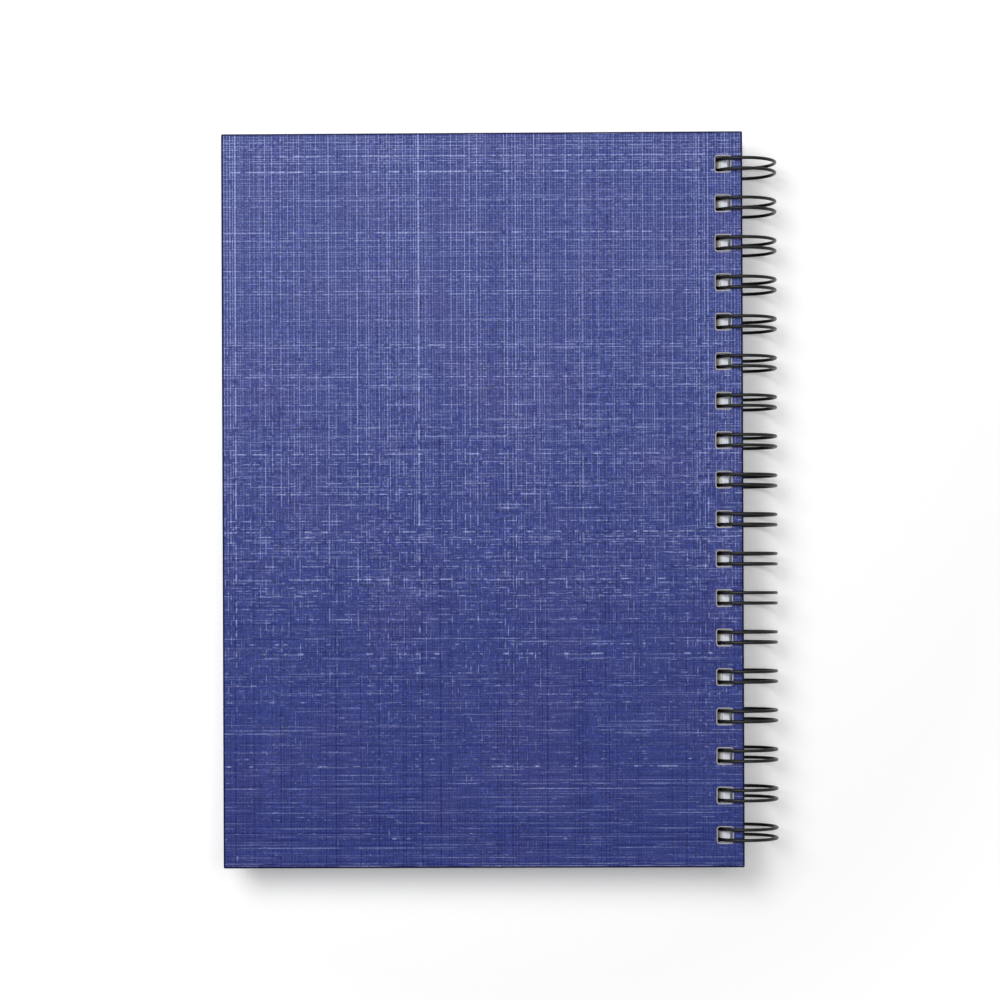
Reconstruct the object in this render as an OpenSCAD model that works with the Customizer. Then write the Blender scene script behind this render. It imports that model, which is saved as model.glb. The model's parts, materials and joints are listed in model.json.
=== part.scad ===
// Hard-cover notebook on a twin-loop wire, lying closed on its front cover.
// Each module first builds its piece in book coordinates: the Y axis is the centre line of
// the wire loops, the covers lie on its -X side and the back cover is on top.
// lying() then sets the book down on the table, on the loops and the front cover's fore-edge.

/* [Covers] */
// Width of a cover, from spine edge to fore-edge
cover_w = 168; // [120:1:230]
// Height of a cover, from head to tail
cover_h = 237; // [150:1:320]
// Thickness of the greyboard in each cover
board_t = 1.8; // [1.5:0.1:3]
// Radius of the rounded edges of a covered board
edge_r = 0.9; // [0.6:0.05:0.9]
// Radius of the corners of a cover, seen from above
corner_r = 0.6; // [0.4:0.1:2]

/* [Covering paper and endpapers] */
// Thickness of the embossed covering paper
wrap_t = 0.2; // [0.15:0.01:0.3]
// Width of the covering paper turned in over the inner face of the board
turn_in = 15; // [12:1:25]
// Thickness of an endpaper
endpaper_t = 0.2; // [0.12:0.01:0.3]
// Distance from the edges of a cover to the edges of its endpaper
endpaper_inset = 3; // [2:0.5:6]

/* [Pages] */
// Thickness of the block of pages
page_block_t = 13; // [5:0.1:15]
// Distance by which the covers stand out past the pages at head, tail and fore-edge
page_inset = 3; // [1:0.5:6]
// Distance from the holes in the pages to their spine edge
page_margin = 2.2; // [1.8:0.1:4]
// Gap between the pages and each endpaper
page_clear = 0.1; // [0.05:0.05:0.3]

/* [Punched holes] */
// Height of a hole, along the spine
hole_h = 5.05; // [4.9:0.05:6]
// Radius of the corners of a hole
hole_r = 0.7; // [0.4:0.1:1.5]
// Width of bare board left round a hole where the covering paper is punched back
punch_rim = 0.35; // [0.2:0.05:0.6]
// Distance from the holes in the covers to their spine edge
hole_margin = 3.85; // [3:0.05:6]
// Least distance from head or tail to the centre of the first hole
end_margin = 9; // [7:0.5:15]

/* [Wire] */
// Diameter of the wire
wire_d = 1.05; // [0.8:0.05:1.2]
// Distance between the loops along the spine, two to the inch
loop_pitch = 12.7; // [10:0.1:16]
// Distance between the two wires of a loop
finger_w = 3.35; // [3:0.05:3.4]
// Radius of the bends at the tips and the feet of the loops
bend_r = 1.1; // [0.8:0.05:1.3]
// Radial room between the outer faces of the covers and the inside of the loops
loop_room = 1.1; // [1:0.1:3]
// Gap between the wire and the edges of the holes that it passes
wire_clear = 0.25; // [0.25:0.05:0.5]
// Gap between the front cover and the wire bars that close the loops
seam_clear = 0.5; // [0.4:0.1:0.8]
// Distance between the bars and the middle of the loop tips that meet them
seam_gap = 0.4; // [0.4:0.1:1]
// Length of the wire's two cut ends beyond the last bends
stub_len = 1.2; // [0.5:0.1:2.5]

/* [Hidden] */
$fn = 48;

// Overshoot of cutting shapes
cut = 1;
// Beads that join the lengths of the wire: their height above it, and the distance from their
// middle at which a curved length ends
bead_proud = 0.01;
bead_lap = 0.04;
// A covered board, and the same with its endpaper
covered_t = board_t + 2 * wrap_t;
cover_t = covered_t + endpaper_t;
// Half the thickness of the closed book
half_t = page_block_t / 2 + page_clear + cover_t;

// Loops: the radius of the wire's centre line, and the places along the spine
loop_r = half_t + loop_room + wire_d / 2;
loops = floor((cover_h - 2 * end_margin) / loop_pitch) + 1;
loop_y = [for (i = [0 : loops - 1]) (i - (loops - 1) / 2) * loop_pitch];

// Angles round the loop axis run from +X through +Z, with the covers at 180 degrees
bend_deg = atan(bend_r / loop_r);
bar_deg = 180 + asin((half_t + seam_clear + wire_d / 2) / norm([loop_r, bend_r]));
tip_deg = bar_deg + seam_gap / loop_r * 180 / PI;
foot_end_deg = bar_deg - bend_deg;
tip_end_deg = tip_deg + bend_deg;
loop_sweep = 360 + foot_end_deg - tip_end_deg;

// The holes keep between these two circles, which clear the inside and the outside of the wire
inner_r = loop_r - wire_d / 2 - wire_clear;
outer_r = loop_r + wire_d / 2 + wire_clear;
// Edge of the cover's holes towards the spine, at the outer face of the board, and their width,
// which the wire needs at the inner face of the endpaper
hole_x = -sqrt(pow(inner_r, 2) - pow(half_t - wrap_t, 2));
hole_w = hole_x + sqrt(pow(outer_r, 2) - pow(half_t - cover_t, 2));

// Spine edges in X: the pages hang on the wire with the spine side of their holes
cover_x = hole_x + hole_margin;
page_x = page_margin - sqrt(pow(inner_r, 2) - pow(page_block_t / 2, 2));
page_w = cover_w - page_inset - (cover_x - page_x);

// Rest on the table: the slope of the line that touches loops and front cover from below
prop_x = cover_w - cover_x - edge_r;
prop_z = half_t - edge_r;
rest_deg = asin((loop_r + wire_d / 2 - edge_r) / norm([prop_x, prop_z])) - atan(prop_z / prop_x);
// Middle of the length of the lying book, from the loop axis: the back cover reaches furthest
fore_x = -prop_x * cos(rest_deg) - prop_z * sin(rest_deg) - edge_r;
mid_x = (fore_x + loop_r + wire_d / 2) / 2;
rest_z = loop_r + wire_d / 2;

// The closed book as it lies on the table, with the origin under the middle of its box
module lying() {
    translate([-mid_x, 0, rest_z]) rotate([0, -rest_deg, 0]) children();
}

// Rectangle with round corners, from its lower left corner
module round_rect(w, h, r) {
    translate([r, 0]) square([w - 2 * r, h]);
    translate([0, r]) square([w, h - 2 * r]);
    for (x = [r, w - r], y = [r, h - r]) translate([x, y]) circle(r);
}

// Board with rounded edges, outer face at z = 0 and spine edge at x = 0
module board_form(w, h, t, edge, corner) {
    intersection() {
        translate([-w, h / 2, 0]) rotate([90, 0, 0]) linear_extrude(h) round_rect(w, t, edge);
        translate([-w, -h / 2, 0]) rotate([90, 0, 90]) linear_extrude(w) round_rect(h, t, edge);
        translate([-w, -h / 2, -cut]) linear_extrude(t + 2 * cut) round_rect(w, h, corner);
    }
}

// Row of punched holes between two heights, grown by rim on every side
module holes(x, z, t, rim = 0) {
    for (y = loop_y) {
        translate([x - hole_w - rim, y - hole_h / 2 - rim, z])
            linear_extrude(t) round_rect(hole_w + 2 * rim, hole_h + 2 * rim, hole_r + rim);
    }
}

// Greyboard of one cover
module cover_board() {
    difference() {
        translate([-wrap_t, 0, wrap_t])
            board_form(cover_w - 2 * wrap_t, cover_h - 2 * wrap_t, board_t, edge_r - wrap_t, corner_r);
        holes(-hole_margin, -cut, cover_t + 2 * cut);
    }
}

// Box inside the turned-in covering paper, taken in by inset
module turn_in_frame(z, t, inset = 0) {
    side = turn_in + inset;
    translate([side - cover_w, side - cover_h / 2, z]) cube([cover_w - 2 * side, cover_h - 2 * side, t]);
}

// Covering paper of one cover: outer face, all four edges and the turn-ins
module cover_wrap() {
    difference() {
        board_form(cover_w, cover_h, covered_t, edge_r, corner_r);
        translate([-wrap_t, 0, wrap_t])
            board_form(cover_w - 2 * wrap_t, cover_h - 2 * wrap_t, board_t, edge_r - wrap_t, corner_r);
        turn_in_frame(wrap_t + board_t / 2, cover_t);
        holes(-hole_margin, board_t / 2, cover_t);
        holes(-hole_margin, -cut, wrap_t + cut, punch_rim);
    }
}

// Endpaper of one cover, pasted over the turn-ins and down onto the board between them
module cover_endpaper() {
    difference() {
        union() {
            translate([endpaper_inset - cover_w, endpaper_inset - cover_h / 2, covered_t])
                cube([cover_w - 2 * endpaper_inset, cover_h - 2 * endpaper_inset, endpaper_t]);
            turn_in_frame(covered_t - wrap_t, wrap_t + endpaper_t);
        }
        turn_in_frame(covered_t - wrap_t + endpaper_t, cover_t, endpaper_t);
        holes(-hole_margin, 0, cover_t + cut);
    }
}

// Front cover below the pages, outer face down
module front_place() {
    lying() translate([cover_x, 0, -half_t]) children();
}

// Back cover on top of the pages, outer face up
module back_place() {
    lying() translate([cover_x, 0, half_t]) mirror([0, 0, 1]) children();
}

module front_board() { color([0.78, 0.77, 0.76]) front_place() cover_board(); }
module front_wrap() { color([0.26, 0.30, 0.56]) front_place() cover_wrap(); }
module front_endpaper() { color([0.93, 0.92, 0.89]) front_place() cover_endpaper(); }
module back_board() { color([0.78, 0.77, 0.76]) back_place() cover_board(); }
module back_wrap() { color([0.26, 0.30, 0.56]) back_place() cover_wrap(); }
module back_endpaper() { color([0.93, 0.92, 0.89]) back_place() cover_endpaper(); }

// All leaves as one block, punched along the spine
module page_block() {
    color([0.95, 0.94, 0.90]) lying() difference() {
        translate([page_x - page_w, page_inset - cover_h / 2, -page_block_t / 2])
            cube([page_w, cover_h - 2 * page_inset, page_block_t]);
        holes(page_x - page_margin, -page_block_t / 2 - cut, page_block_t + 2 * cut);
    }
}

// Ball in which two lengths of the wire meet, so that they join into one wire
module bead() { sphere(d = wire_d + 2 * bead_proud); }

// One wire of a loop, from its foot through all the holes and round to its tip
module loop_wire(y) {
    lap_deg = bead_lap / loop_r * 180 / PI;
    translate([0, y, 0]) rotate([90, 0, 0]) rotate([0, 0, tip_end_deg + lap_deg])
        rotate_extrude(angle = loop_sweep - 2 * lap_deg) translate([loop_r, 0]) circle(d = wire_d);
}

// Turn to a place on the loop, where +X points outwards and +Z runs on round the loop
module at_angle(deg, y) {
    translate([0, y, 0]) rotate([0, -deg, 0]) translate([loop_r, 0, 0]) children();
}

// Quarter bend out of a loop wire, which runs on along run_dir and turns towards side
module quarter_bend(run_dir, side) {
    lap_deg = bead_lap / bend_r * 180 / PI;
    start = run_dir > 0 ? (side > 0 ? 180 : 90) : (side > 0 ? 270 : 0);
    bead();
    translate([0, side * bend_r, 0]) rotate([0, 90, 0]) rotate([0, 0, start + lap_deg])
        rotate_extrude(angle = 90 - 2 * lap_deg) translate([bend_r, 0]) circle(d = wire_d);
    translate([0, side * bend_r, run_dir * bend_r]) bead();
}

// Foot of one loop wire: its bend, and a straight length that leads away to one side
module foot(y, side, length) {
    at_angle(foot_end_deg, y) {
        quarter_bend(1, side);
        translate([0, side * bend_r, bend_r]) rotate([-90 * side, 0, 0]) cylinder(h = length, d = wire_d);
    }
}

// Closed tip of a loop, where its two wires join
module loop_tip(y) {
    for (side = [-1, 1]) at_angle(tip_end_deg, y - side * finger_w / 2) quarter_bend(-1, side);
    at_angle(tip_end_deg, y - finger_w / 2) translate([0, bend_r, -bend_r])
        rotate([-90, 0, 0]) cylinder(h = finger_w - 2 * bend_r, d = wire_d);
}

// One loop: two wires joined at the tip, on feet of which the upper one leads to the next loop
module loop(i) {
    y = loop_y[i];
    for (side = [-1, 1]) loop_wire(y + side * finger_w / 2);
    foot(y - finger_w / 2, -1, i == 0 ? stub_len : bead_lap);
    foot(y + finger_w / 2, 1, i == loops - 1 ? stub_len : loop_pitch - finger_w - 2 * bend_r);
    loop_tip(y);
}

// The twin-loop binding: one continuous wire, bent into flat fingers and rolled closed
module wire_binding() {
    color([0.06, 0.06, 0.07]) lying() for (i = [0 : loops - 1]) loop(i);
}

page_block();
front_board();
front_wrap();
front_endpaper();
back_board();
back_wrap();
back_endpaper();
wire_binding();
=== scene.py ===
"""Looks of a hard-cover notebook that is bound with a black twin-loop wire.

The notebook lies closed on its front cover, on a white table, and is seen from straight above.
Both covers are greyboard wrapped in navy paper with a linen embossing. The solids keep their
shapes here: this script gives each of them its finish, adds the leaf edges that lean on the wire
inside the holes, and sets the table, lamps and camera. The axes are those of the solids: +X
towards the wire, +Y towards the head and +Z up out of the back cover.
"""

from __future__ import annotations

import json
import logging
import math
from dataclasses import dataclass, field
from enum import Enum
from typing import Any

import bpy
from mathutils import Euler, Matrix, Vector


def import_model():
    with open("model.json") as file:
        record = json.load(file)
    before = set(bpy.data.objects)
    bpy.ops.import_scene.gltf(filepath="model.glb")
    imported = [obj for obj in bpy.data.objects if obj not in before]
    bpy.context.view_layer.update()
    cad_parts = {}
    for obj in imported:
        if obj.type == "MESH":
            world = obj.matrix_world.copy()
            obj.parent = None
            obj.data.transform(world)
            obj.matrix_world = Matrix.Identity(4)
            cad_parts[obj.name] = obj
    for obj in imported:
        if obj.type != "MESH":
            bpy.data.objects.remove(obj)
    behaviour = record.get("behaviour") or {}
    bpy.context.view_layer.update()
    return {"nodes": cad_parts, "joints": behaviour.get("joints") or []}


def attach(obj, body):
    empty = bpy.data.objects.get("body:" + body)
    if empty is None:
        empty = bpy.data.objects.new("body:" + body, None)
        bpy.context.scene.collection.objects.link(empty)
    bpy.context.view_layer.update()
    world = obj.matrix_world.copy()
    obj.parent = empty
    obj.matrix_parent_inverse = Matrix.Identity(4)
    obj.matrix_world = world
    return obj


LOG = logging.getLogger("notebook")
MM = 0.001

Colour = tuple[float, float, float, float]
Inputs = dict[str | int, Any]


def linear(hex_colour: str) -> Colour:
    """Turn an sRGB colour into the linear one that the shaders take.

    Args:
        hex_colour: the colour as "#RRGGBB".

    Returns:
        Linear red, green and blue, and an alpha of 1.
    """
    channels = [int(hex_colour[i : i + 2], 16) / 255 for i in (1, 3, 5)]
    red, green, blue = (
        c / 12.92 if c <= 0.04045 else ((c + 0.055) / 1.055) ** 2.4 for c in channels
    )
    return red, green, blue, 1.0


def add_node(
    tree: bpy.types.NodeTree,
    kind: str,
    inputs: Inputs | None = None,
    **settings: Any,
) -> bpy.types.Node:
    """Add a node to a tree, with its settings and links.

    Args:
        tree: the node tree that the node goes into.
        kind: the node's type, without the word ShaderNode in front.
        inputs: for each input socket, by name or number, a value to set or a socket to link.
        **settings: properties of the node.

    Returns:
        The new node.
    """
    node = tree.nodes.new("ShaderNode" + kind)
    for name, value in settings.items():
        setattr(node, name, value)
    for key, value in (inputs or {}).items():
        if isinstance(value, bpy.types.NodeSocket):
            tree.links.new(value, node.inputs[key])
        else:
            node.inputs[key].default_value = value
    return node


def new_material(name: str) -> tuple[bpy.types.Material, bpy.types.NodeTree]:
    """Make a material with an empty node tree.

    Args:
        name: the material's name.

    Returns:
        The material and its tree.
    """
    material = bpy.data.materials.new(name)
    material.use_nodes = True
    material.node_tree.nodes.clear()
    return material, material.node_tree


def sight(tree: bpy.types.NodeTree) -> bpy.types.NodeSocket:
    """Tell the rays that see a thing from those that only carry its light.

    Args:
        tree: the node tree that the nodes go into.

    Returns:
        A socket that is 1 for a view straight on, in a reflection or through glass, else 0.
    """
    ray = add_node(tree, "LightPath")
    reflected = add_node(
        tree,
        "Math",
        {0: ray.outputs["Is Camera Ray"], 1: ray.outputs["Is Glossy Ray"]},
        operation="MAXIMUM",
    )
    through = add_node(
        tree,
        "Math",
        {0: reflected.outputs[0], 1: ray.outputs["Is Transmission Ray"]},
        operation="MAXIMUM",
    )
    return through.outputs[0]


def dress(node: bpy.types.Object, material: bpy.types.Material) -> None:
    """Give a solid one material all over.

    Args:
        node: the solid's object.
        material: the finish that it gets.
    """
    node.data.materials.clear()
    node.data.materials.append(material)
    LOG.info("%s gets %s", node.name, material.name)


class Cover(Enum):
    """The two covers of the book, and the shift of the embossing between them in mm."""

    BACK = ("back", (0.0, 0.0, 0.0))
    FRONT = ("front", (37.0, 61.0, 0.0))

    @property
    def prefix(self) -> str:
        """First word of the names of this cover's solids."""
        return self.value[0]

    @property
    def emboss_shift(self) -> Vector:
        """Shift of the embossing, since each cover is cut from another place of the sheet."""
        return Vector(self.value[1]) * MM


class Run(Enum):
    """Direction that a set of embossed threads runs in: the axes across and along them."""

    DOWN_THE_COVER = ("X", "Y")
    ACROSS_THE_COVER = ("Y", "X")


@dataclass(frozen=True)
class ThreadSet:
    """One set of parallel threads in the linen embossing.

    The pitch is that of the real weave, 0.86 mm, and it drifts a little as in real cloth. Few
    threads are cut deep into the plate, and each shows only in lengths, where the plate pressed
    it well: a pressure above shown_from starts to show, and one above shown_to shows in full.
    The lean, how much more a thread shows at the head than at the tail, is painted light: it
    stands in for the lamps' sheen and shade, which change from the head to the tail of the cover.
    faintest is the depth of the shallowest thread, and row_step sets the lengths of neighbouring
    threads apart. half_width and drift are shares of the pitch.
    """

    run: Run
    offset: float
    length_mm: float
    shown_from: float
    shown_to: float
    painted_light_lean: float
    faintest: float = 0.2
    pitch_mm: float = 0.86
    half_width: float = 0.24
    drift: float = 1.7
    drift_rate: float = 0.4
    few_are_deep: float = 2.0
    row_step: float = 7.37

    def strength(
        self,
        tree: bpy.types.NodeTree,
        place: bpy.types.NodeSocket,
        head: bpy.types.NodeSocket,
    ) -> bpy.types.NodeSocket:
        """Make the nodes that say how strongly a thread shows at a place.

        Args:
            tree: the tree that the nodes go into.
            place: the place on the sheet, in metres.
            head: 0 at the tail of the cover and 1 at its head.

        Returns:
            A socket that is 1 on a deep thread where it shows in full, and 0 off the threads.
        """
        across_axis, along_axis = self.run.value
        axes = add_node(tree, "SeparateXYZ", {0: place})
        even_count = add_node(
            tree,
            "Math",
            {0: axes.outputs[across_axis], 1: 1 / (self.pitch_mm * MM), 2: self.offset},
            operation="MULTIPLY_ADD",
        )
        drift = add_node(
            tree,
            "TexNoise",
            {"W": even_count.outputs[0], "Scale": self.drift_rate, "Detail": 1.0},
            noise_dimensions="1D",
        )
        count = add_node(
            tree,
            "Math",
            {0: drift.outputs[0], 1: self.drift, 2: even_count.outputs[0]},
            operation="MULTIPLY_ADD",
        )
        number = add_node(tree, "Math", {0: count.outputs[0]}, operation="FLOOR")
        share = add_node(tree, "Math", {0: count.outputs[0]}, operation="FRACT")
        ridge = self._ridge(tree, share.outputs[0])
        depth = self._depth(tree, number.outputs[0])
        shown = self._pressed_and_lit(tree, number.outputs[0], axes.outputs[along_axis], head)
        deep_ridge = add_node(tree, "Math", {0: ridge, 1: depth}, operation="MULTIPLY")
        thread = add_node(tree, "Math", {0: deep_ridge.outputs[0], 1: shown}, operation="MULTIPLY")
        return thread.outputs[0]

    def _ridge(
        self, tree: bpy.types.NodeTree, share: bpy.types.NodeSocket
    ) -> bpy.types.NodeSocket:
        """Give a thread its rounded section.

        Args:
            tree: the tree that the nodes go into.
            share: the place across the thread, as a share of the pitch.

        Returns:
            A socket that is 1 on the crest and 0 beside the thread.
        """
        from_crest = add_node(tree, "Math", {0: share, 1: 0.5}, operation="SUBTRACT")
        distance = add_node(tree, "Math", {0: from_crest.outputs[0]}, operation="ABSOLUTE")
        ridge = add_node(
            tree,
            "MapRange",
            {
                "Value": distance.outputs[0],
                "From Max": self.half_width,
                "To Min": 1.0,
                "To Max": 0.0,
            },
            interpolation_type="SMOOTHSTEP",
        )
        return ridge.outputs[0]

    def _depth(
        self, tree: bpy.types.NodeTree, number: bpy.types.NodeSocket
    ) -> bpy.types.NodeSocket:
        """Draw how deep a thread is cut into the plate: few threads are deep.

        Args:
            tree: the tree that the nodes go into.
            number: the number of the thread.

        Returns:
            A socket from the faintest depth to 1.
        """
        seed = add_node(tree, "Math", {0: number, 1: self.offset}, operation="ADD")
        luck = add_node(tree, "TexWhiteNoise", {"W": seed.outputs[0]}, noise_dimensions="1D")
        few = add_node(
            tree, "Math", {0: luck.outputs["Value"], 1: self.few_are_deep}, operation="POWER"
        )
        depth = add_node(tree, "MapRange", {"Value": few.outputs[0], "To Min": self.faintest})
        return depth.outputs[0]

    def _pressed_and_lit(
        self,
        tree: bpy.types.NodeTree,
        number: bpy.types.NodeSocket,
        along: bpy.types.NodeSocket,
        head: bpy.types.NodeSocket,
    ) -> bpy.types.NodeSocket:
        """Share of the plate's pressure at a place along a thread, leaned by painted light.

        Args:
            tree: the tree that the nodes go into.
            number: the number of the thread.
            along: the place along the thread, in metres.
            head: 0 at the tail of the cover and 1 at its head.

        Returns:
            A socket that is 1 where the thread shows in full, by pressure and painted light.
        """
        row = add_node(tree, "Math", {0: number, 1: self.row_step}, operation="MULTIPLY")
        lengthwise = add_node(
            tree, "Math", {0: along, 1: 1 / (self.length_mm * MM)}, operation="MULTIPLY"
        )
        cell = add_node(
            tree, "CombineXYZ", {0: row.outputs[0], 1: lengthwise.outputs[0], 2: self.offset}
        )
        pressure = add_node(
            tree,
            "TexNoise",
            {"Vector": cell.outputs[0], "Scale": 1.0, "Detail": 2.0, "Roughness": 0.6},
        )
        # Painted light: the lean makes threads show more towards the head or the tail, for the lamps'
        # sheen and shade.
        lean = add_node(tree, "Math", {0: head, 1: 0.5}, operation="SUBTRACT")
        leaning = add_node(
            tree,
            "Math",
            {0: lean.outputs[0], 1: self.painted_light_lean, 2: pressure.outputs[0]},
            operation="MULTIPLY_ADD",
        )
        shown = add_node(
            tree,
            "MapRange",
            {"Value": leaning.outputs[0], "From Min": self.shown_from, "From Max": self.shown_to},
            interpolation_type="SMOOTHSTEP",
        )
        return shown.outputs[0]


@dataclass(frozen=True)
class LinenEmbossedPaper:
    """Navy covering paper, printed in one colour and embossed with a linen pattern.

    To the eye it is a soft satin navy under a net of fine lines. The raised threads are pale and
    a little glossier: partly paper rubbed pale, partly a painted highlight of the lamps. The dark
    grooves beside them are painted shade. Where the paper is drawn round an edge of the board it
    is matt, and its deep navy there is painted shade, where the rounded edge turns away from the
    lamps. The pale threads show most at the head of the cover, and the grooves and long faint
    threads at the tail: painted sheen and shade, which change from the head to the tail.

    Colours blend over spans of the noise or of the face's slope: the purple patches from
    patch_from to patch_to, and the flat face from edge_upright to face_upright. tail_y and
    head_y are places along the cover, in metres, between which the threads' lean of painted
    sheen and shade changes.
    """

    name: str = "navy_paper_linen_embossed"
    ground: str = "#2B397D"
    purple_patch: str = "#3B397C"
    pale_thread: str = "#98A1D4"
    # Painted shade: the deep navy of the grooves.
    groove_shade: str = "#04105A"
    # Painted shade: the deep navy of the rounded edges of the board.
    painted_edge_shade: str = "#03072F"
    patch_mm: float = 24.0
    patch_from: float = 0.45
    patch_to: float = 0.75
    grain_mm: float = 0.45
    grain_relief: float = 0.5
    relief_mm: float = 0.03
    roughness: float = 0.5
    rubbed_roughness: float = 0.4
    edge_roughness: float = 0.85
    shine: float = 0.17
    ior: float = 1.5
    pale_amount: float = 0.95
    patch_amount: float = 0.6
    grain_darkest: float = 0.52
    grain_palest: float = 1.5
    edge_upright: float = 0.85
    face_upright: float = 0.99
    tail_y: float = -0.1
    head_y: float = 0.07
    pale_threads: tuple[ThreadSet, ...] = (
        ThreadSet(
            Run.DOWN_THE_COVER,
            offset=0.0,
            length_mm=4.0,
            shown_from=0.43,
            shown_to=0.63,
            painted_light_lean=0.32,
        ),
        ThreadSet(
            Run.ACROSS_THE_COVER,
            offset=0.3,
            length_mm=2.8,
            shown_from=0.46,
            shown_to=0.66,
            painted_light_lean=0.2,
        ),
        ThreadSet(
            Run.ACROSS_THE_COVER,
            offset=0.62,
            length_mm=14.0,
            shown_from=0.44,
            shown_to=0.74,
            painted_light_lean=-0.12,
            faintest=0.1,
        ),
    )
    grooves: tuple[ThreadSet, ...] = (
        ThreadSet(
            Run.DOWN_THE_COVER,
            offset=0.5,
            length_mm=9.0,
            shown_from=0.42,
            shown_to=0.58,
            painted_light_lean=-0.3,
            half_width=0.36,
        ),
        ThreadSet(
            Run.ACROSS_THE_COVER,
            offset=0.8,
            length_mm=8.0,
            shown_from=0.42,
            shown_to=0.58,
            painted_light_lean=-0.3,
            half_width=0.36,
        ),
    )

    def material(self, cover: Cover) -> bpy.types.Material:
        """Make this paper for one cover.

        Args:
            cover: the cover that it wraps.

        Returns:
            The material.
        """
        material, tree = new_material(f"{self.name}_{cover.prefix}")
        place = add_node(tree, "TexCoord")
        sheet = add_node(
            tree,
            "VectorMath",
            {0: place.outputs["Object"], 1: cover.emboss_shift},
            operation="ADD",
        )
        head = self._head_share(tree, place)
        # The pale threads are partly a painted highlight and the grooves painted shade; both lean
        # with the head share as painted sheen and shade.
        pale = self._several(tree, self.pale_threads, sheet.outputs[0], head)
        dark = self._several(tree, self.grooves, sheet.outputs[0], head)
        grain = add_node(
            tree,
            "TexNoise",
            {"Vector": sheet.outputs[0], "Scale": 1 / (self.grain_mm * MM), "Detail": 1.0},
        )
        printed = self._print(tree, sheet.outputs[0], pale, dark, grain.outputs[0])
        flatness = self._flatness(tree, place)
        # Painted shade: where the face turns from upright round the edges, the colour goes to a deep
        # navy.
        colour = add_node(
            tree,
            "Mix",
            {0: flatness, 6: linear(self.painted_edge_shade), 7: printed},
            data_type="RGBA",
        )
        height = add_node(tree, "Math", {0: pale, 1: dark}, operation="SUBTRACT")
        fine = add_node(
            tree,
            "Math",
            {0: grain.outputs[0], 1: self.grain_relief, 2: height.outputs[0]},
            operation="MULTIPLY_ADD",
        )
        bump = add_node(
            tree,
            "Bump",
            {"Strength": 1.0, "Distance": self.relief_mm * MM, "Height": fine.outputs[0]},
        )
        rubbed = add_node(
            tree,
            "MapRange",
            {"Value": pale, "To Min": self.roughness, "To Max": self.rubbed_roughness},
        )
        sheen = add_node(
            tree,
            "MapRange",
            {"Value": flatness, "To Min": self.edge_roughness, "To Max": rubbed.outputs[0]},
        )
        surface = add_node(
            tree,
            "BsdfPrincipled",
            {
                "Base Color": colour.outputs[2],
                "Roughness": sheen.outputs[0],
                "IOR": self.ior,
                "Specular IOR Level": self.shine,
                "Normal": bump.outputs[0],
            },
        )
        add_node(tree, "OutputMaterial", {"Surface": surface.outputs[0]})
        return material

    def _head_share(self, tree: bpy.types.NodeTree, place: bpy.types.Node) -> bpy.types.NodeSocket:
        """Place along the height of the cover, for the lean of painted sheen and shade.

        Args:
            tree: the tree that the nodes go into.
            place: the texture coordinates node.

        Returns:
            A socket that is 0 near the tail and 1 near the head.
        """
        axes = add_node(tree, "SeparateXYZ", {0: place.outputs["Object"]})
        share = add_node(
            tree,
            "MapRange",
            {"Value": axes.outputs["Y"], "From Min": self.tail_y, "From Max": self.head_y},
        )
        return share.outputs[0]

    def _print(
        self,
        tree: bpy.types.NodeTree,
        sheet: bpy.types.NodeSocket,
        pale: bpy.types.NodeSocket,
        dark: bpy.types.NodeSocket,
        grain: bpy.types.NodeSocket,
    ) -> bpy.types.NodeSocket:
        """Colour of the flat, embossed paper, with painted shade in the grooves and a partly painted
        highlight on the pale threads.

        Args:
            tree: the tree that the nodes go into.
            sheet: the place on the sheet, in metres.
            pale: strength of the pale threads.
            dark: strength of the dark grooves.
            grain: the fine grain of the paper.

        Returns:
            The socket of the colour.
        """
        patch = add_node(
            tree, "TexNoise", {"Vector": sheet, "Scale": 1 / (self.patch_mm * MM), "Detail": 3.0}
        )
        patch_share = add_node(
            tree,
            "MapRange",
            {
                "Value": patch.outputs[0],
                "From Min": self.patch_from,
                "From Max": self.patch_to,
                "To Max": self.patch_amount,
            },
        )
        ground = add_node(
            tree,
            "Mix",
            {0: patch_share.outputs[0], 6: linear(self.ground), 7: linear(self.purple_patch)},
            data_type="RGBA",
        )
        # Painted shade: the grooves are darkened towards a deep navy.
        grooved = add_node(
            tree,
            "Mix",
            {0: dark, 6: ground.outputs[2], 7: linear(self.groove_shade)},
            data_type="RGBA",
        )
        # Partly painted highlight: the pale threads lighten the paper, partly as rubbed paper.
        pale_share = add_node(tree, "Math", {0: pale, 1: self.pale_amount}, operation="MULTIPLY")
        threaded = add_node(
            tree,
            "Mix",
            {0: pale_share.outputs[0], 6: grooved.outputs[2], 7: linear(self.pale_thread)},
            data_type="RGBA",
        )
        grain_share = add_node(
            tree,
            "MapRange",
            {
                "Value": grain,
                "From Min": 0.3,
                "From Max": 0.7,
                "To Min": self.grain_darkest,
                "To Max": self.grain_palest,
            },
        )
        grained = add_node(
            tree,
            "VectorMath",
            {0: threaded.outputs[2], "Scale": grain_share.outputs[0]},
            operation="SCALE",
        )
        return grained.outputs[0]

    @staticmethod
    def _several(
        tree: bpy.types.NodeTree,
        sets: tuple[ThreadSet, ...],
        sheet: bpy.types.NodeSocket,
        head: bpy.types.NodeSocket,
    ) -> bpy.types.NodeSocket:
        """Sum of several sets of threads, at most 1.

        Args:
            tree: the tree that the nodes go into.
            sets: the sets of threads.
            sheet: the place on the sheet, in metres.
            head: 0 at the tail of the cover and 1 at its head.

        Returns:
            The socket of the sum.
        """
        total = sets[0].strength(tree, sheet, head)
        for threads in sets[1:]:
            added = add_node(
                tree,
                "Math",
                {0: total, 1: threads.strength(tree, sheet, head)},
                operation="ADD",
                use_clamp=True,
            )
            total = added.outputs[0]
        return total

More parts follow.
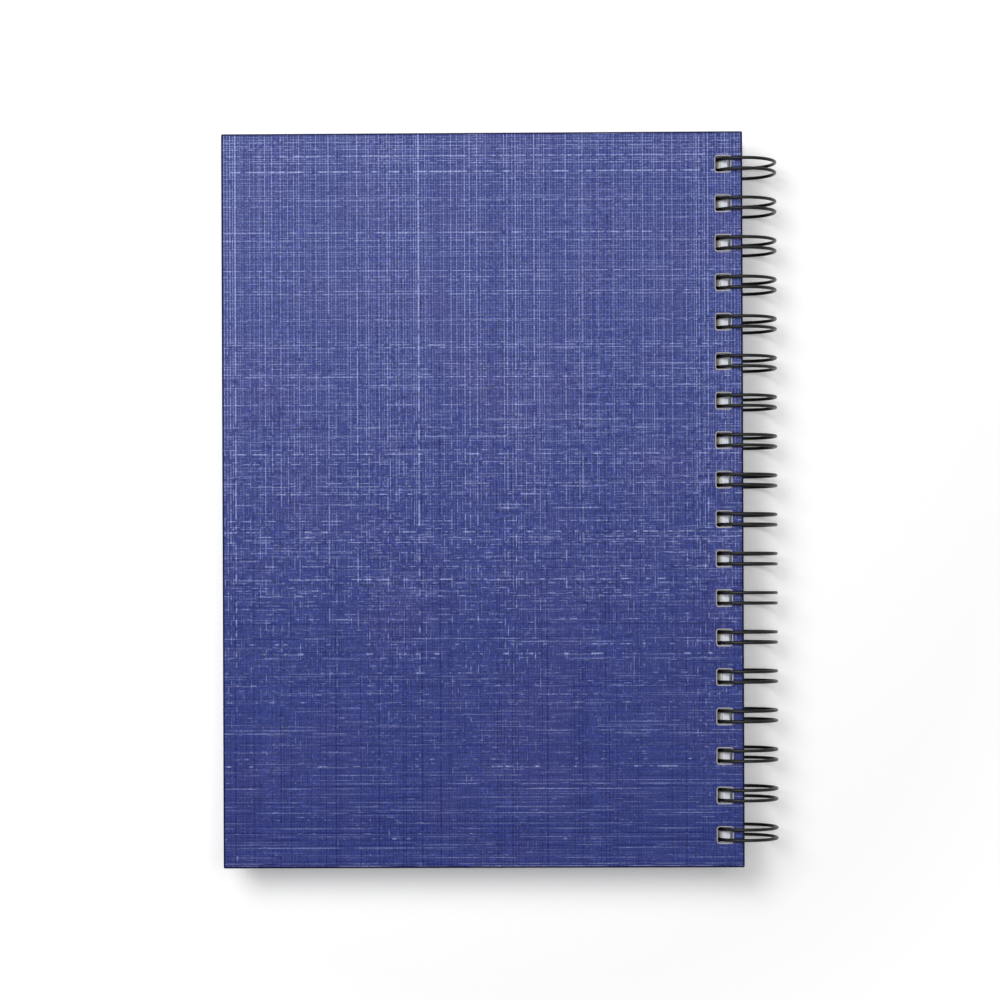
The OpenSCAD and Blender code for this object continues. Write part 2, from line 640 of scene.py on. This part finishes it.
    def _flatness(self, tree: bpy.types.NodeTree, place: bpy.types.Node) -> bpy.types.NodeSocket:
        """Share of embossed, flat face: 1 on the faces of the cover and 0 round its edges.

        Args:
            tree: the tree that the nodes go into.
            place: the texture coordinates node.

        Returns:
            The socket of the share.
        """
        axes = add_node(tree, "SeparateXYZ", {0: place.outputs["Normal"]})
        upright = add_node(tree, "Math", {0: axes.outputs["Z"]}, operation="ABSOLUTE")
        share = add_node(
            tree,
            "MapRange",
            {
                "Value": upright.outputs[0],
                "From Min": self.edge_upright,
                "From Max": self.face_upright,
            },
        )
        return share.outputs[0]


@dataclass(frozen=True)
class PunchedGreyboard:
    """Grey board of pressed waste paper, cut bare by the punch.

    Only the walls and rims of the holes show: they are pale grey, matt and fibrous.
    """

    name: str = "greyboard_punched"
    fibre: str = "#C4C1C6"
    shade: str = "#98959B"
    fibre_mm: float = 0.4
    relief_mm: float = 0.03
    roughness: float = 0.85

    def material(self) -> bpy.types.Material:
        """Make the board's material.

        Returns:
            The material.
        """
        material, tree = new_material(self.name)
        place = add_node(tree, "TexCoord")
        fibres = add_node(
            tree,
            "TexNoise",
            {"Vector": place.outputs["Object"], "Scale": 1 / (self.fibre_mm * MM), "Detail": 3.0},
        )
        colour = add_node(
            tree,
            "Mix",
            {0: fibres.outputs[0], 6: linear(self.shade), 7: linear(self.fibre)},
            data_type="RGBA",
        )
        bump = add_node(
            tree,
            "Bump",
            {"Strength": 0.6, "Distance": self.relief_mm * MM, "Height": fibres.outputs[0]},
        )
        surface = add_node(
            tree,
            "BsdfPrincipled",
            {"Base Color": colour.outputs[2], "Roughness": self.roughness, "Normal": bump.outputs[0]},
        )
        add_node(tree, "OutputMaterial", {"Surface": surface.outputs[0]})
        return material


@dataclass(frozen=True)
class UncoatedPaper:
    """Uncoated woodfree paper, cut or punched where its leaves lie in a block.

    It is matt and cool white, with a faint cloudy formation and a soft tooth. Where leaf_mm is
    above 0, the upright faces are cut leaf edges with fine lines between them. A leaf is 0.1 mm
    thick, which is too fine to show, so leaf_mm draws about three leaves as one.
    """

    name: str
    # The sheet and cloud are a little greyer than the paper itself: painted shade, for the leaves
    # that lie shaded in the holes.
    sheet: str = "#DFE2EA"
    cloud: str = "#D6DAE3"
    edge_line: str = "#B4B7BF"
    leaf_mm: float = 0.0
    line_length_mm: float = 60.0
    gap_from: float = 0.36
    gap_to: float = 0.6
    formation_mm: float = 4.0
    tooth_mm: float = 0.35
    relief_mm: float = 0.02
    roughness: float = 0.9

    def material(self) -> bpy.types.Material:
        """Make the paper's material, with cut leaf edges where leaf_mm is above 0.

        Returns:
            The material.
        """
        material, tree = new_material(self.name)
        place = add_node(tree, "TexCoord")
        formation = add_node(
            tree,
            "TexNoise",
            {"Vector": place.outputs["Object"], "Scale": 1 / (self.formation_mm * MM), "Detail": 4.0},
        )
        flat = add_node(
            tree,
            "Mix",
            {0: formation.outputs[0], 6: linear(self.cloud), 7: linear(self.sheet)},
            data_type="RGBA",
        )
        tooth = add_node(
            tree,
            "TexNoise",
            {"Vector": place.outputs["Object"], "Scale": 1 / (self.tooth_mm * MM), "Detail": 2.0},
        )
        height, colour = tooth.outputs[0], flat.outputs[2]
        if self.leaf_mm > 0:
            height, colour = self._leaves(tree, place, height, colour)
        bump = add_node(
            tree, "Bump", {"Strength": 0.7, "Distance": self.relief_mm * MM, "Height": height}
        )
        surface = add_node(
            tree,
            "BsdfPrincipled",
            {"Base Color": colour, "Roughness": self.roughness, "Normal": bump.outputs[0]},
        )
        add_node(tree, "OutputMaterial", {"Surface": surface.outputs[0]})
        return material

    def _leaves(
        self,
        tree: bpy.types.NodeTree,
        place: bpy.types.Node,
        height: bpy.types.NodeSocket,
        colour: bpy.types.NodeSocket,
    ) -> tuple[bpy.types.NodeSocket, bpy.types.NodeSocket]:
        """Lay the lines between the leaves over the cut edges of the block.

        Args:
            tree: the tree that the nodes go into.
            place: the texture coordinates node.
            height: the socket of the paper's own relief.
            colour: the socket of the paper's own colour.

        Returns:
            The sockets of the relief and of the colour with the lines.
        """
        along, across = 1 / (self.line_length_mm * MM), 1 / (self.leaf_mm * MM)
        stretched = add_node(
            tree, "Mapping", {0: place.outputs["Object"], 3: (along, along, across)}
        )
        lines = add_node(
            tree,
            "TexNoise",
            {"Vector": stretched.outputs[0], "Scale": 1.0, "Detail": 2.0, "Roughness": 0.7},
        )
        gap = add_node(
            tree,
            "MapRange",
            {"Value": lines.outputs[0], "From Min": self.gap_from, "From Max": self.gap_to},
        )
        axes = add_node(tree, "SeparateXYZ", {0: place.outputs["Normal"]})
        upright = add_node(tree, "Math", {0: axes.outputs["Z"]}, operation="ABSOLUTE")
        face = add_node(
            tree, "MapRange", {"Value": upright.outputs[0], "From Min": 0.5, "From Max": 0.9}
        )
        shown = add_node(
            tree, "Math", {0: gap.outputs[0], 1: face.outputs[0]}, operation="MAXIMUM"
        )
        lined = add_node(
            tree,
            "Mix",
            {0: shown.outputs[0], 6: linear(self.edge_line), 7: colour},
            data_type="RGBA",
        )
        raised = add_node(tree, "Math", {0: shown.outputs[0], 1: height}, operation="ADD")
        return raised.outputs[0], lined.outputs[2]


@dataclass(frozen=True)
class NylonCoatedWire:
    """Steel wire with a black nylon coating: deep black, glossy, faintly uneven."""

    name: str = "steel_wire_black_nylon_coated"
    coat: str = "#050506"
    worn: str = "#0E0E10"
    uneven_mm: float = 2.5
    relief_mm: float = 0.01
    smoothest: float = 0.22
    roughest: float = 0.38
    shine: float = 0.2
    ior: float = 1.53

    def material(self) -> bpy.types.Material:
        """Make the wire's material.

        Returns:
            The material.
        """
        material, tree = new_material(self.name)
        place = add_node(tree, "TexCoord")
        uneven = add_node(
            tree,
            "TexNoise",
            {"Vector": place.outputs["Object"], "Scale": 1 / (self.uneven_mm * MM), "Detail": 3.0},
        )
        colour = add_node(
            tree,
            "Mix",
            {0: uneven.outputs[0], 6: linear(self.coat), 7: linear(self.worn)},
            data_type="RGBA",
        )
        rough = add_node(
            tree,
            "MapRange",
            {"Value": uneven.outputs[0], "To Min": self.smoothest, "To Max": self.roughest},
        )
        bump = add_node(
            tree,
            "Bump",
            {"Strength": 0.3, "Distance": self.relief_mm * MM, "Height": uneven.outputs[0]},
        )
        surface = add_node(
            tree,
            "BsdfPrincipled",
            {
                "Base Color": colour.outputs[2],
                "Roughness": rough.outputs[0],
                "IOR": self.ior,
                "Specular IOR Level": self.shine,
                "Normal": bump.outputs[0],
            },
        )
        add_node(tree, "OutputMaterial", {"Surface": surface.outputs[0]})
        return material


@dataclass(frozen=True)
class WhiteTable:
    """Matt white table top that photographs as plain white and keeps the book's soft shadow.

    Away from the book, where the lamps reach less, the camera still sees it white: its glow
    rises from near to far, which are distances from the middle of the book in metres.
    """

    name: str = "table_matt_white"
    lit: float = 0.95
    glow: float = 0.16
    far_glow: float = 1.0
    near: float = 0.16
    far: float = 0.7

    def material(self) -> bpy.types.Material:
        """Make the table's material.

        Returns:
            The material.
        """
        material, tree = new_material(self.name)
        place = add_node(tree, "TexCoord")
        distance = add_node(tree, "VectorMath", {0: place.outputs["Object"]}, operation="LENGTH")
        level = add_node(
            tree,
            "MapRange",
            {
                "Value": distance.outputs["Value"],
                "From Min": self.near,
                "From Max": self.far,
                "To Min": self.glow,
                "To Max": self.far_glow,
            },
        )
        strength = add_node(
            tree, "Math", {0: sight(tree), 1: level.outputs[0]}, operation="MULTIPLY"
        )
        glow = add_node(
            tree, "Emission", {"Color": (1.0, 1.0, 1.0, 1.0), "Strength": strength.outputs[0]}
        )
        matt = add_node(tree, "BsdfDiffuse", {"Color": (self.lit, self.lit, self.lit, 1.0)})
        both = add_node(tree, "AddShader", {0: glow.outputs[0], 1: matt.outputs[0]})
        add_node(tree, "OutputMaterial", {"Surface": both.outputs[0]})
        return material


@dataclass
class WrappedCover:
    """One hard cover: greyboard, covering paper and endpaper."""

    cover: Cover
    paper: bpy.types.Material
    board: bpy.types.Material
    endpaper: bpy.types.Material

    def build(self, nodes: dict[str, bpy.types.Object]) -> None:
        """Dress the three solids of the cover.

        Args:
            nodes: the solids by name.
        """
        prefix = self.cover.prefix
        dress(nodes[f"{prefix}_wrap"], self.paper)
        dress(nodes[f"{prefix}_board"], self.board)
        dress(nodes[f"{prefix}_endpaper"], self.endpaper)


@dataclass
class PageBlock:
    """All the leaves, in one block.

    The leaves hang on the round wire, so inside each hole the leaves of the middle stand
    further in than the first and the last. The solid has straight holes. Here each hole
    gets that swelling of leaf edges, a slice of a circle that keeps clear of the wire. The
    swelling gets a brighter copy of the leaves' paper: painted light, for the light that
    reaches the leaf edges in the holes.

    The sizes are those of the solids: 18 holes, 12.7 mm apart, in a block of 13 mm that slopes
    as the book lies. hinge is the axis of the loops, where both covers turn, and wire_inner_mm
    is the inner radius of the loops about it. A hole is 5.05 mm high, and a swelling goes
    0.05 mm into each of its walls.
    """

    paper: UncoatedPaper
    painted_lit_edges: UncoatedPaper
    hinge: Vector
    loops: int = 18
    loop_pitch_mm: float = 12.7
    hole_height_mm: float = 5.15
    block_thickness_mm: float = 13.0
    wire_inner_mm: float = 10.1
    wire_gap_mm: float = 0.2
    slope_deg: float = 0.735
    arc_steps: int = 20

    def build(self, nodes: dict[str, bpy.types.Object]) -> None:
        """Dress the block, and swell the leaf edges in its holes.

        Args:
            nodes: the solids by name.
        """
        dress(nodes["page_block"], self.paper.material())
        mesh = bpy.data.meshes.new("leaf_edges_in_holes")
        points: list[tuple[float, float, float]] = []
        faces: list[tuple[int, ...]] = []
        for loop in range(self.loops):
            middle = (loop - (self.loops - 1) / 2) * self.loop_pitch_mm
            self._add_swelling(middle, points, faces)
        mesh.from_pydata(points, [], faces)
        # The brighter copy of the paper is painted light on the leaf edges in the holes.
        mesh.materials.append(self.painted_lit_edges.material())
        swellings = bpy.data.objects.new("leaf_edges_in_holes", mesh)
        bpy.context.scene.collection.objects.link(swellings)
        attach(swellings, "pages")
        LOG.info("leaf_edges_in_holes swell in %d holes", self.loops)

    def _add_swelling(
        self, middle: float, points: list[tuple[float, float, float]], faces: list[tuple[int, ...]]
    ) -> None:
        """Add the slice of one hole to a mesh.

        Args:
            middle: the middle of the hole along the spine, in mm.
            points: the mesh's points so far, in metres.
            faces: the mesh's faces so far.
        """
        radius = self.wire_inner_mm - self.wire_gap_mm
        half_angle = math.asin(self.block_thickness_mm / 2 / radius)
        slope = math.radians(self.slope_deg)
        first = len(points)
        for step in range(self.arc_steps + 1):
            angle = half_angle * (2 * step / self.arc_steps - 1) - slope
            x = self.hinge.x - radius * math.cos(angle) * MM
            z = self.hinge.z + radius * math.sin(angle) * MM
            for side in (-0.5, 0.5):
                points.append((x, (middle + side * self.hole_height_mm) * MM, z))
        low, high = first, first + 2 * self.arc_steps
        for step in range(first, high, 2):
            faces.append((step, step + 2, step + 3, step + 1))
        faces.append((low, low + 1, high + 1, high))
        faces.append(tuple(range(high, low - 1, -2)))
        faces.append(tuple(range(low + 1, high + 2, 2)))


@dataclass
class TwinLoopWire:
    """The wire that binds the book."""

    finish: NylonCoatedWire

    def build(self, nodes: dict[str, bpy.types.Object]) -> None:
        """Dress the wire.

        Args:
            nodes: the solids by name.
        """
        dress(nodes["wire_binding"], self.finish.material())


@dataclass
class Softbox:
    """Square studio lamp with a diffuser, aimed at the book."""

    name: str
    place: tuple[float, float, float]
    side: float
    power: float

    def build(self) -> None:
        """Hang the lamp."""
        lamp = bpy.data.lights.new(self.name, "AREA")
        lamp.shape = "SQUARE"
        lamp.size = self.side
        lamp.energy = self.power
        holder = bpy.data.objects.new(self.name, lamp)
        holder.location = self.place
        holder.rotation_euler = (-Vector(self.place)).to_track_quat("-Z", "Y").to_euler()
        bpy.context.scene.collection.objects.link(holder)


@dataclass
class Studio:
    """White table, softboxes and the white room round them."""

    table_side: float = 8.0
    fill: float = 0.16
    table: WhiteTable = field(default_factory=WhiteTable)
    softboxes: tuple[Softbox, ...] = (
        Softbox("key_softbox", place=(-0.36, 0.34, 0.9), side=0.52, power=6.9),
        Softbox("overhead_softbox", place=(0.2, 0.02, 1.15), side=0.6, power=3.8),
    )

    def build(self) -> None:
        """Set up the table, the lamps and the room."""
        self._build_table()
        for softbox in self.softboxes:
            softbox.build()
        self._build_room()

    def _build_table(self) -> None:
        """Lay the table top in the plane that the book lies on."""
        half = self.table_side / 2
        mesh = bpy.data.meshes.new("table_top")
        outline = [(-half, -half, 0.0), (half, -half, 0.0), (half, half, 0.0), (-half, half, 0.0)]
        mesh.from_pydata(outline, [], [(0, 1, 2, 3)])
        table = bpy.data.objects.new("table_top", mesh)
        bpy.context.scene.collection.objects.link(table)
        mesh.materials.append(self.table.material())

    def _build_room(self) -> None:
        """Fill the room with soft light, and show it white behind the book."""
        world = bpy.data.worlds.new("white_room")
        world.use_nodes = True
        tree = world.node_tree
        tree.nodes.clear()
        strength = add_node(
            tree, "MapRange", {"Value": sight(tree), "To Min": self.fill, "To Max": 1.0}
        )
        room = add_node(
            tree, "Background", {"Color": (1.0, 1.0, 1.0, 1.0), "Strength": strength.outputs[0]}
        )
        add_node(tree, "OutputWorld", {"Surface": room.outputs[0]})
        bpy.context.scene.world = world


@dataclass
class CopyCamera:
    """Camera on a copy stand, looking straight down at the back cover.

    The place, lens and shift follow from the photograph: the cover is 3.11 px to the mm, the
    upper and lower halves of the loops stand apart most at the head, by up to 3.7 mm, and the
    point straight below the lens lies 94 px below the middle of the picture.
    """

    place: tuple[float, float, float] = (-0.0004, -0.0302, 0.8259)
    lens_mm: float = 90.2
    shift_up: float = 0.094
    turn_deg: float = -0.21

    def build(self) -> None:
        """Mount the camera and make it the scene's."""
        lens = bpy.data.cameras.new("copy_camera")
        lens.lens = self.lens_mm
        lens.sensor_width = 36.0
        lens.shift_y = self.shift_up
        lens.clip_start = 0.05
        lens.clip_end = 50.0
        camera = bpy.data.objects.new("copy_camera", lens)
        camera.location = self.place
        camera.rotation_euler = Euler((0.0, 0.0, math.radians(self.turn_deg)))
        bpy.context.scene.collection.objects.link(camera)
        bpy.context.scene.camera = camera


def main() -> None:
    """Dress the notebook and set up the picture."""
    logging.basicConfig(level=logging.INFO, format="%(name)s: %(message)s")
    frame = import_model()
    nodes = frame["nodes"]
    bpy.context.scene.view_settings.view_transform = "Standard"

    paper = LinenEmbossedPaper()
    board = PunchedGreyboard().material()
    endpaper = UncoatedPaper("endpaper_woodfree").material()
    for cover in Cover:
        WrappedCover(cover, paper.material(cover), board, endpaper).build(nodes)
    # Both hinges turn about the axis of the loops, so the first one gives it.
    PageBlock(
        paper=UncoatedPaper("leaves_woodfree_cut", leaf_mm=0.3),
        # Painted light: the leaf edges in the holes get a brighter copy of the leaves' paper, for the
        # light that reaches them there.
        painted_lit_edges=UncoatedPaper(
            "leaf_edges_painted_light",
            sheet="#FAF9F7",
            cloud="#F2F0EE",
            edge_line="#DCD8D4",
            leaf_mm=0.3,
        ),
        hinge=Vector(frame["joints"][0]["pos_m"]),
    ).build(nodes)
    TwinLoopWire(NylonCoatedWire()).build(nodes)
    Studio().build()
    CopyCamera().build()


if __name__ == "__main__":
    main()
